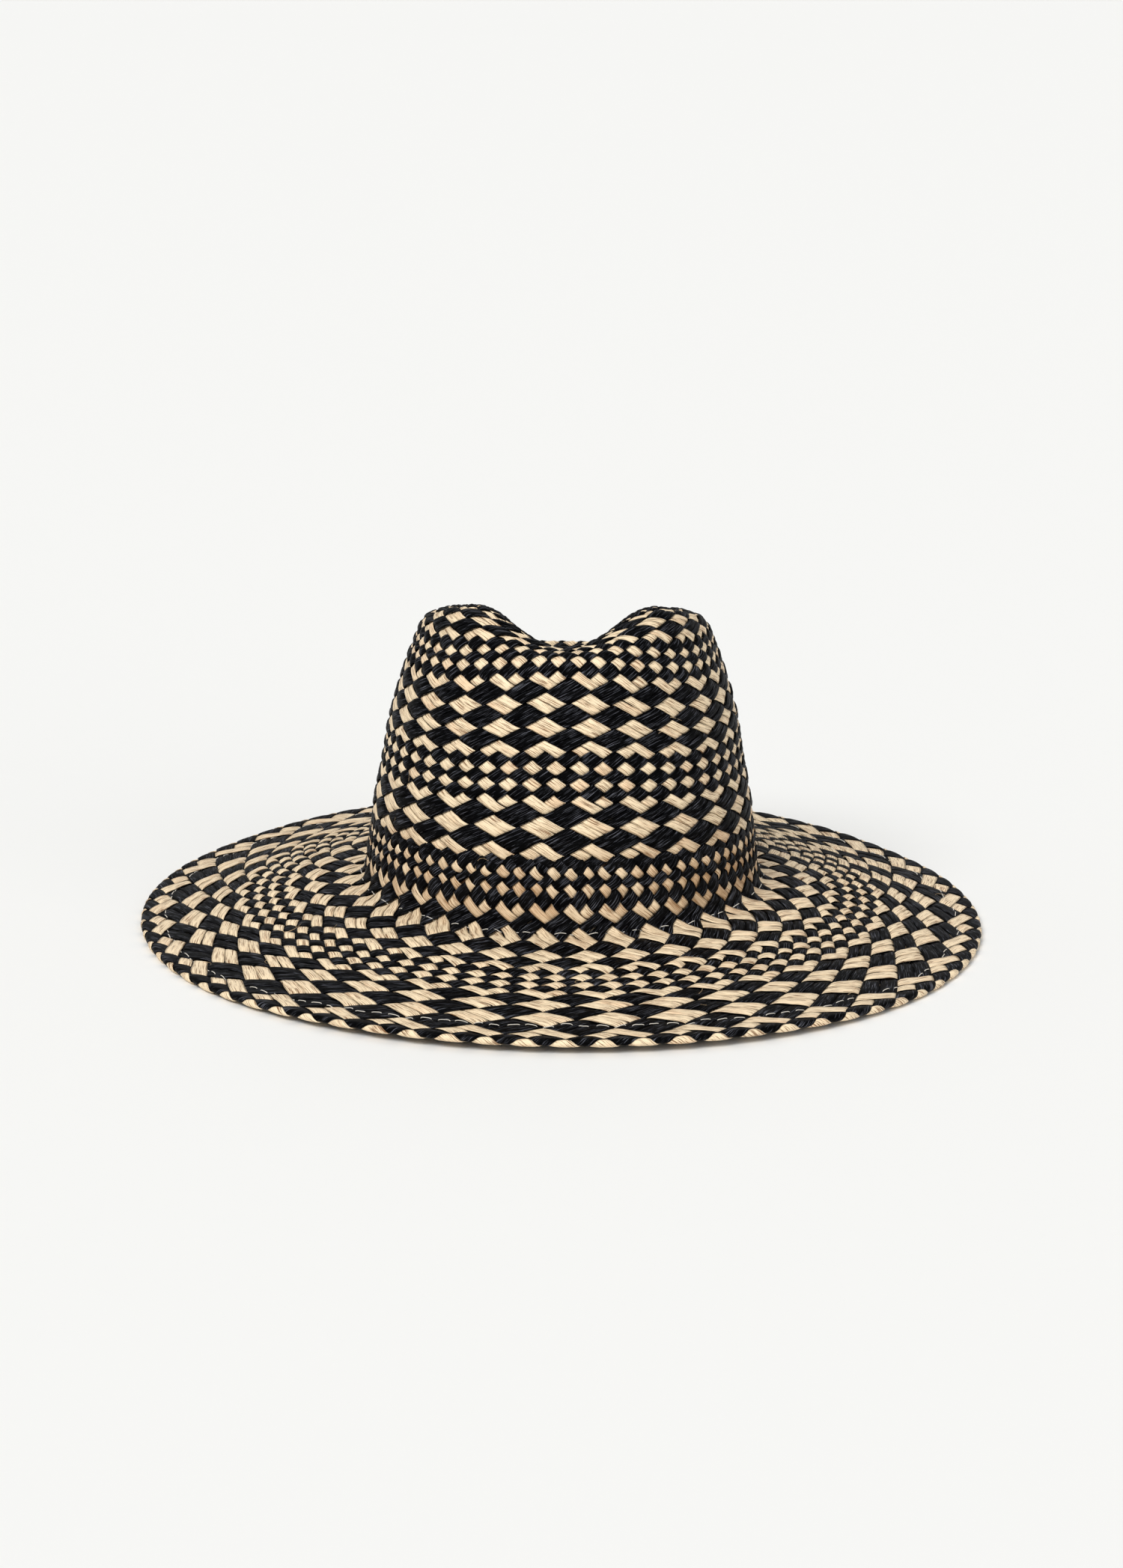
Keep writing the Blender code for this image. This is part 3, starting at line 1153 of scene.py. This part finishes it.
@dataclass
class PlaitedStraw:
    """All the straw: the tip, the crown, the brim and its folded edge.

    The edge starts at edge_row. Turns are the angles of column 0, in degrees.
    """

    form: HatForm
    edge_row: int = 70
    crown_turn: float = -6.0
    foot_turn: float = -5.0
    rim_turn: float = -1.5

    def __post_init__(self) -> None:
        """Lay out the rings of weave."""
        crown = {"form": self.form, "phase": self.crown_phase}
        self.centre = Weave(
            chart=Chart(CENTRE_ROWS), strips=24, first=-35, last=-25, seed=31, **crown
        )
        self.upper = Weave(
            chart=Chart(UPPER_ROWS), strips=48, first=-23, last=34, seed=5, **crown
        )
        chart = Chart(LOWER_ROWS, ragged=(35, 53), uneven=(34, 35, 36, 37, 52, 53, 54))
        self.lower = Weave(
            self.form, chart, strips=72, first=34, last=75,
            phase=self.brim_phase, seed=9, open_end=True,
        )
        self.edge = replace(self.lower, mesh=FINE)
        self.patch = CentrePatch(self.form)

    def crown_phase(self, distance: Rows) -> Rows:
        """Angle of column 0 on the crown, the same at every distance."""
        return np.full(np.shape(distance), math.radians(self.crown_turn))

    def brim_phase(self, distance: Rows) -> Rows:
        """Angle of column 0 on the brim, which turns a little towards the edge."""
        share = np.clip(distance / self.form.rim_distance, 0.0, 1.0)
        return np.radians(self.foot_turn + (self.rim_turn - self.foot_turn) * share)

    def make(self) -> None:
        """Make and dress both colours of every part."""
        rings = (
            ("tip", self.centre, {}, "woven_body"),
            ("crown", self.upper, {}, "woven_body"),
            ("brim", self.lower, {"last": self.edge_row - 1}, "woven_body"),
            ("brim_edge", self.edge, {"first": self.edge_row}, "brim_edge"),
        )
        for straw, finish in FINISHES.items():
            material, word = finish.make(), straw.value
            middle = self.patch.strips_mesh(f"tip_middle_{word}", straw)
            deliver(middle, material, straw.slot, "woven_body")
            for name, weave, part, node in rings:
                piece = weave.strips_mesh(f"{name}_{word}", straw, **part)
                deliver(piece, material, straw.slot, node)


@dataclass
class StitchLine:
    """A line of hand stitches round the hat, following the relief of the weave.

    Lengths are metres. Stitches stray by wander, as a standard deviation, their ends dip into
    the straw, and in front the line runs nearer to the foot of the crown by sway. A thread's
    middle is raised by as many radii as stand says.
    """

    weave: Weave
    name: str
    distance: float
    pitch: float
    gap: float
    radius: float
    wander: float
    seed: int
    sway: float = 0.0
    lengths: Pair = (0.82, 1.14)
    dip: float = 0.0011
    stand: float = 0.8
    steps: int = 9
    round_steps: int = 721

    def make(self) -> Thing:
        """Make the stitches, as short threads whose ends dip into the straw."""
        form, draw = self.weave.form, np.random.default_rng(self.seed)
        angles = np.linspace(-math.pi, math.pi, self.round_steps)
        line = form.at(form.way(np.full(self.round_steps, self.distance), angles), angles)
        run = np.concatenate(([0], np.cumsum(np.linalg.norm(np.diff(line, axis=0), axis=1))))
        count = round(run[-1] / (self.pitch + self.gap))
        starts = np.arange(count) * run[-1] / count
        t = np.linspace(0.0, 1.0, self.steps)
        length = self.pitch * draw.uniform(*self.lengths, (count, 1))
        angle = np.interp(starts[:, None] + t * length, run, angles)
        slant = draw.normal(0.0, self.wander, (count, 1)) * (t - 0.5)
        distance = self.distance + draw.normal(0.0, self.wander, (count, 1)) + slant
        distance = distance - self.sway * np.clip(np.cos(angle), 0.0, 1.0) ** 4
        lift = self.weave.height_of(Straw.BLACK, distance, angle)
        for _ in range(2):
            smooth = np.pad(lift, ((0, 0), (1, 1)), mode="edge")
            lift = np.maximum(lift, (smooth[:, :-2] + smooth[:, 2:]) / 2)
        lift = lift + self.radius * self.stand - self.dip * (1 - np.sin(math.pi * t)) ** 4
        paths = form.lifted(form.way(distance, angle), angle, lift)
        return joined_tubes(self.name, round_tubes(paths, self.radius))


@dataclass
class LooseFibres:
    """A few hairs of straw that stand off the weave."""

    weave: Weave
    count: int = 46
    length: float = 0.009
    lengths: Pair = (0.5, 1.3)
    radius: float = 0.00012
    highest: float = -0.105
    clear_of_rim: float = 0.015
    curl: float = 0.9
    rises: Pair = (0.12, 0.34)
    root: float = 0.0004
    turn_radius: float = 0.12
    thick_root: float = 1.2
    steps: int = 7
    seed: int = 41

    def make(self) -> Thing:
        """Make the hairs, rooted in the weave and curling off it."""
        form, draw = self.weave.form, np.random.default_rng(self.seed)
        t = np.linspace(0.0, 1.0, self.steps)
        size = (self.count, 1)
        angle = draw.uniform(-math.pi, math.pi, size)
        distance = draw.uniform(self.highest, form.rim_distance - self.clear_of_rim, size)
        length = self.length * draw.uniform(*self.lengths, size)
        heading = draw.uniform(0, 2 * math.pi, size) + draw.normal(0.0, self.curl, size) * t
        out = distance + length * np.cos(heading) * t
        turned = angle + length * np.sin(heading) * t / self.turn_radius
        lift = self.root + self.length * draw.uniform(*self.rises, size) * t**1.6
        paths = form.lifted(form.way(out, turned), turned, lift)
        radius = self.radius * (self.thick_root - t)
        return joined_tubes("loose_fibres", round_tubes(paths, radius, sides=4))


@dataclass
class Sweatband:
    """The leather band inside the head opening: rolled foot, stitches, and a seam behind."""

    form: HatForm
    foot: float = 0.0030
    height: float = 0.0290
    leather: float = 0.0010
    clear: float = 0.0013
    roll: float = 0.0011
    sides: int = 144
    levels: int = 7
    stitch_height: float = 0.0048
    stitch_pitch: float = 0.0034
    stitch_share: float = 0.76
    stitch_arch: float = 0.00032
    stitch_sunk: float = 0.00012
    thread_radius: float = 0.00024
    girth: float = 0.5845
    seam_from: float = 0.0075
    seam_pitch: float = 0.0036
    seam_rise: float = 0.0024
    seam_turn: float = 0.0392
    seam_stitches: int = 6
    worn_edge: float = 0.35
    smooth_below: float = 50.0

    def _place(self, height: Rows, angle: Rows, inwards: Rows) -> Rows:
        """Points inside the crown's side.

        Args:
            height: heights above the foot of the crown.
            angle: angles round from the front.
            inwards: how far in from the middle of the weave.

        Returns:
            The points, straight down from the side's lowest point where they are below it.
        """
        form = self.form
        height = form.brim_rise - form.weave / 2 + height
        bend = np.argmin(abs(form.section[:, 0] - form.head_width / 2))
        low, wall = form.section[bend, 1], slice(form.tip_steps, bend)
        heights, travel = form.section[wall, 1], form.travel[wall]
        way = np.interp(-np.maximum(height, low), -heights, travel)
        points = form.lifted(way, angle, -inwards)
        points[..., 2] += np.minimum(height - low, 0.0)
        return points

    def make_band(self) -> Thing:
        """Raise the band from a ring, fit it to the crown, and give it thickness."""
        clear_selection()
        bpy.ops.mesh.primitive_circle_add(
            vertices=self.sides, radius=self.form.head_width / 2, location=(0, 0, 0)
        )
        band = bpy.context.object
        band.name = "sweatband_leather"
        bpy.ops.object.mode_set(mode="EDIT")
        bpy.ops.mesh.select_all(action="SELECT")
        for _ in range(self.levels):
            bpy.ops.mesh.extrude_edges_move(
                TRANSFORM_OT_translate={"value": (0, 0, self.height / self.levels)}
            )
        bpy.ops.object.mode_set(mode="OBJECT")
        flat = np.array([v.co for v in band.data.vertices])
        angle = np.arctan2(flat[:, 0], -flat[:, 1])
        fitted = self._place(self.foot + flat[:, 2], angle, self.clear + self.leather / 2)
        band.data.vertices.foreach_set("co", fitted.ravel())
        bpy.ops.object.mode_set(mode="EDIT")
        bpy.ops.mesh.select_all(action="SELECT")
        bpy.ops.mesh.normals_make_consistent(inside=False)
        bpy.ops.object.mode_set(mode="OBJECT")
        wall = band.modifiers.new("Leather", "SOLIDIFY")
        wall.thickness, wall.offset = self.leather, 0.0
        bevel = band.modifiers.new("Worn edges", "BEVEL")
        bevel.width, bevel.segments = self.leather * self.worn_edge, 2
        for modifier in ("Leather", "Worn edges"):
            bpy.ops.object.modifier_apply(modifier=modifier)
        bpy.ops.object.shade_smooth_by_angle(angle=math.radians(self.smooth_below))
        return band

    def make_roll(self) -> Thing:
        """Make the rolled foot, which the band is turned over."""
        angle = np.linspace(-math.pi, math.pi, self.sides + 1)[None, :]
        inwards = np.full(angle.shape, self.clear + self.roll)
        middle = self._place(np.full(angle.shape, self.foot), angle, inwards)
        return joined_tubes("sweatband_roll", round_tubes(middle, self.roll, sides=10))

    def make_stitches(self) -> Thing:
        """Make the machine stitches above the roll, and the cross stitches of the seam."""
        t = np.linspace(0.0, 1.0, 6)
        count = round(self.girth / self.stitch_pitch)
        start = (1.0 - self.stitch_share) / 2
        angle = (np.arange(count)[:, None] + start + self.stitch_share * t) * 2 * math.pi / count
        arch = self.stitch_arch * np.sin(math.pi * t) ** 0.5 - self.stitch_sunk
        face = self.clear + self.leather + arch
        paths = [self._place(np.full(angle.shape, self.stitch_height), angle, face)]
        seam = np.arange(self.seam_stitches)[:, None] * self.seam_pitch + self.seam_from
        for way in (-1, 1):
            turned = math.pi + way * (t - 0.5) * self.seam_turn
            height = seam + self.seam_rise * t
            paths.append(self._place(height, np.broadcast_to(turned, height.shape), face))
        tubes = round_tubes(np.concatenate(paths), self.thread_radius)
        return joined_tubes("sweatband_stitches", tubes)

    def make(self, thread: bpy.types.Material) -> None:
        """Make and dress the band, its roll and its stitches."""
        leather = LEATHER.make()
        deliver(self.make_band(), leather, "band_leather", "sweatband")
        deliver(self.make_roll(), leather, "band_leather", "sweatband")
        deliver(self.make_stitches(), thread, "thread")


def clear_selection() -> None:
    """Deselect everything, because an operator acts on all that is selected."""
    if bpy.context.object and bpy.context.object.mode != "OBJECT":
        bpy.ops.object.mode_set(mode="OBJECT")
    bpy.ops.object.select_all(action="DESELECT")


@dataclass(frozen=True)
class Lamp:
    """A soft light that falls evenly on the whole floor. Its spread is in degrees."""

    name: str
    place: Triple
    spread: float
    power: float
    aim: Triple = (0.0, 0.0, 0.08)

    def make(self) -> None:
        """Hang the lamp, pointing at the middle of the hat."""
        light = bpy.data.lights.new(self.name, "SUN")
        light.angle, light.energy = math.radians(self.spread), self.power
        lamp = bpy.data.objects.new(self.name, light)
        lamp.location = self.place
        towards = Vector(self.aim) - lamp.location
        lamp.rotation_euler = towards.to_track_quat("-Z", "Y").to_euler()
        bpy.context.scene.collection.objects.link(lamp)


LAMPS = (
    Lamp("key light", (-1.3, -2.2, 2.6), 30.0, 2.11),
    Lamp("fill light", (2.0, -2.4, 1.5), 50.0, 0.62),
    Lamp("back light", (0.3, 2.2, 2.6), 50.0, 0.42),
)


@dataclass
class Studio:
    """A pale floor, soft light from above and in front, and the photograph's camera."""

    distance: float = 2.5
    elevation: float = 14.6
    aim: Triple = (-0.0007, 0.0, 0.0648)
    roll: float = 0.74
    focal_pixels: float = 7365.0
    image_height: float = 2095.0
    film: float = 36.0
    clip: Pair = (0.05, 60.0)
    floor_size: float = 14.0
    sky: Triple = (0.95, 0.95, 0.94)
    sky_strength: float = 0.41

    def make_floor(self) -> None:
        """Lay the floor."""
        clear_selection()
        bpy.ops.mesh.primitive_plane_add(size=self.floor_size, location=(0, 0, 0))
        floor = bpy.context.object
        floor.name = "pale_floor"
        floor.data.transform(floor.matrix_world)
        floor.matrix_world = Matrix.Identity(4)
        floor.data.materials.append(FLOOR.make())

    def make_camera(self) -> None:
        """Set up the camera."""
        camera = bpy.data.cameras.new("camera")
        camera.sensor_fit = "VERTICAL"
        camera.sensor_height = self.film
        camera.lens = self.focal_pixels * self.film / self.image_height
        camera.clip_start, camera.clip_end = self.clip
        holder = bpy.data.objects.new("camera", camera)
        rise = math.radians(self.elevation)
        aim = Vector(self.aim)
        place = aim + self.distance * Vector((0.0, -math.cos(rise), math.sin(rise)))
        turn = (aim - place).to_track_quat("-Z", "Y").to_matrix()
        turn = turn @ Matrix.Rotation(math.radians(self.roll), 3, "Z")
        holder.matrix_world = Matrix.Translation(place) @ turn.to_4x4()
        bpy.context.scene.collection.objects.link(holder)
        bpy.context.scene.camera = holder

    def make(self) -> None:
        """Make the floor, the lights, the sky and the camera."""
        self.make_floor()
        for lamp in LAMPS:
            lamp.make()
        world = bpy.data.worlds.new("studio")
        world.use_nodes = True
        background = world.node_tree.nodes["Background"]
        background.inputs["Color"].default_value = (*self.sky, 1.0)
        background.inputs["Strength"].default_value = self.sky_strength
        bpy.context.scene.world = world
        bpy.context.scene.view_settings.view_transform = "Standard"
        self.make_camera()


def main() -> None:
    """Build the hat's looks and the studio, in order."""
    logging.basicConfig(level=logging.INFO, format="%(name)s: %(message)s")
    form = HatForm()
    LOG.info("tip at %.1f mm, rim at %.1f mm", form.tip_distance * 1e3, form.rim_distance * 1e3)
    straw = PlaitedStraw(form)
    straw.make()
    thread = THREAD.make()
    Sweatband(form).make(thread)
    lines = (
        StitchLine(
            straw.lower, "foot_stitches", distance=0.0040, pitch=0.0058, gap=0.0011,
            radius=0.00018, wander=0.0004, seed=3,
        ),
        StitchLine(
            straw.lower, "hem_stitches", distance=0.0985, pitch=0.0060, gap=0.0018,
            radius=0.00019, wander=0.0005, seed=4, sway=0.0063,
        ),
    )
    for line in lines:
        deliver(line.make(), thread, "thread")
    deliver(LooseFibres(straw.lower).make(), NATURAL_FIBRE.make(), "natural_straw")
    Studio().make()


if __name__ == "__main__":
    main()
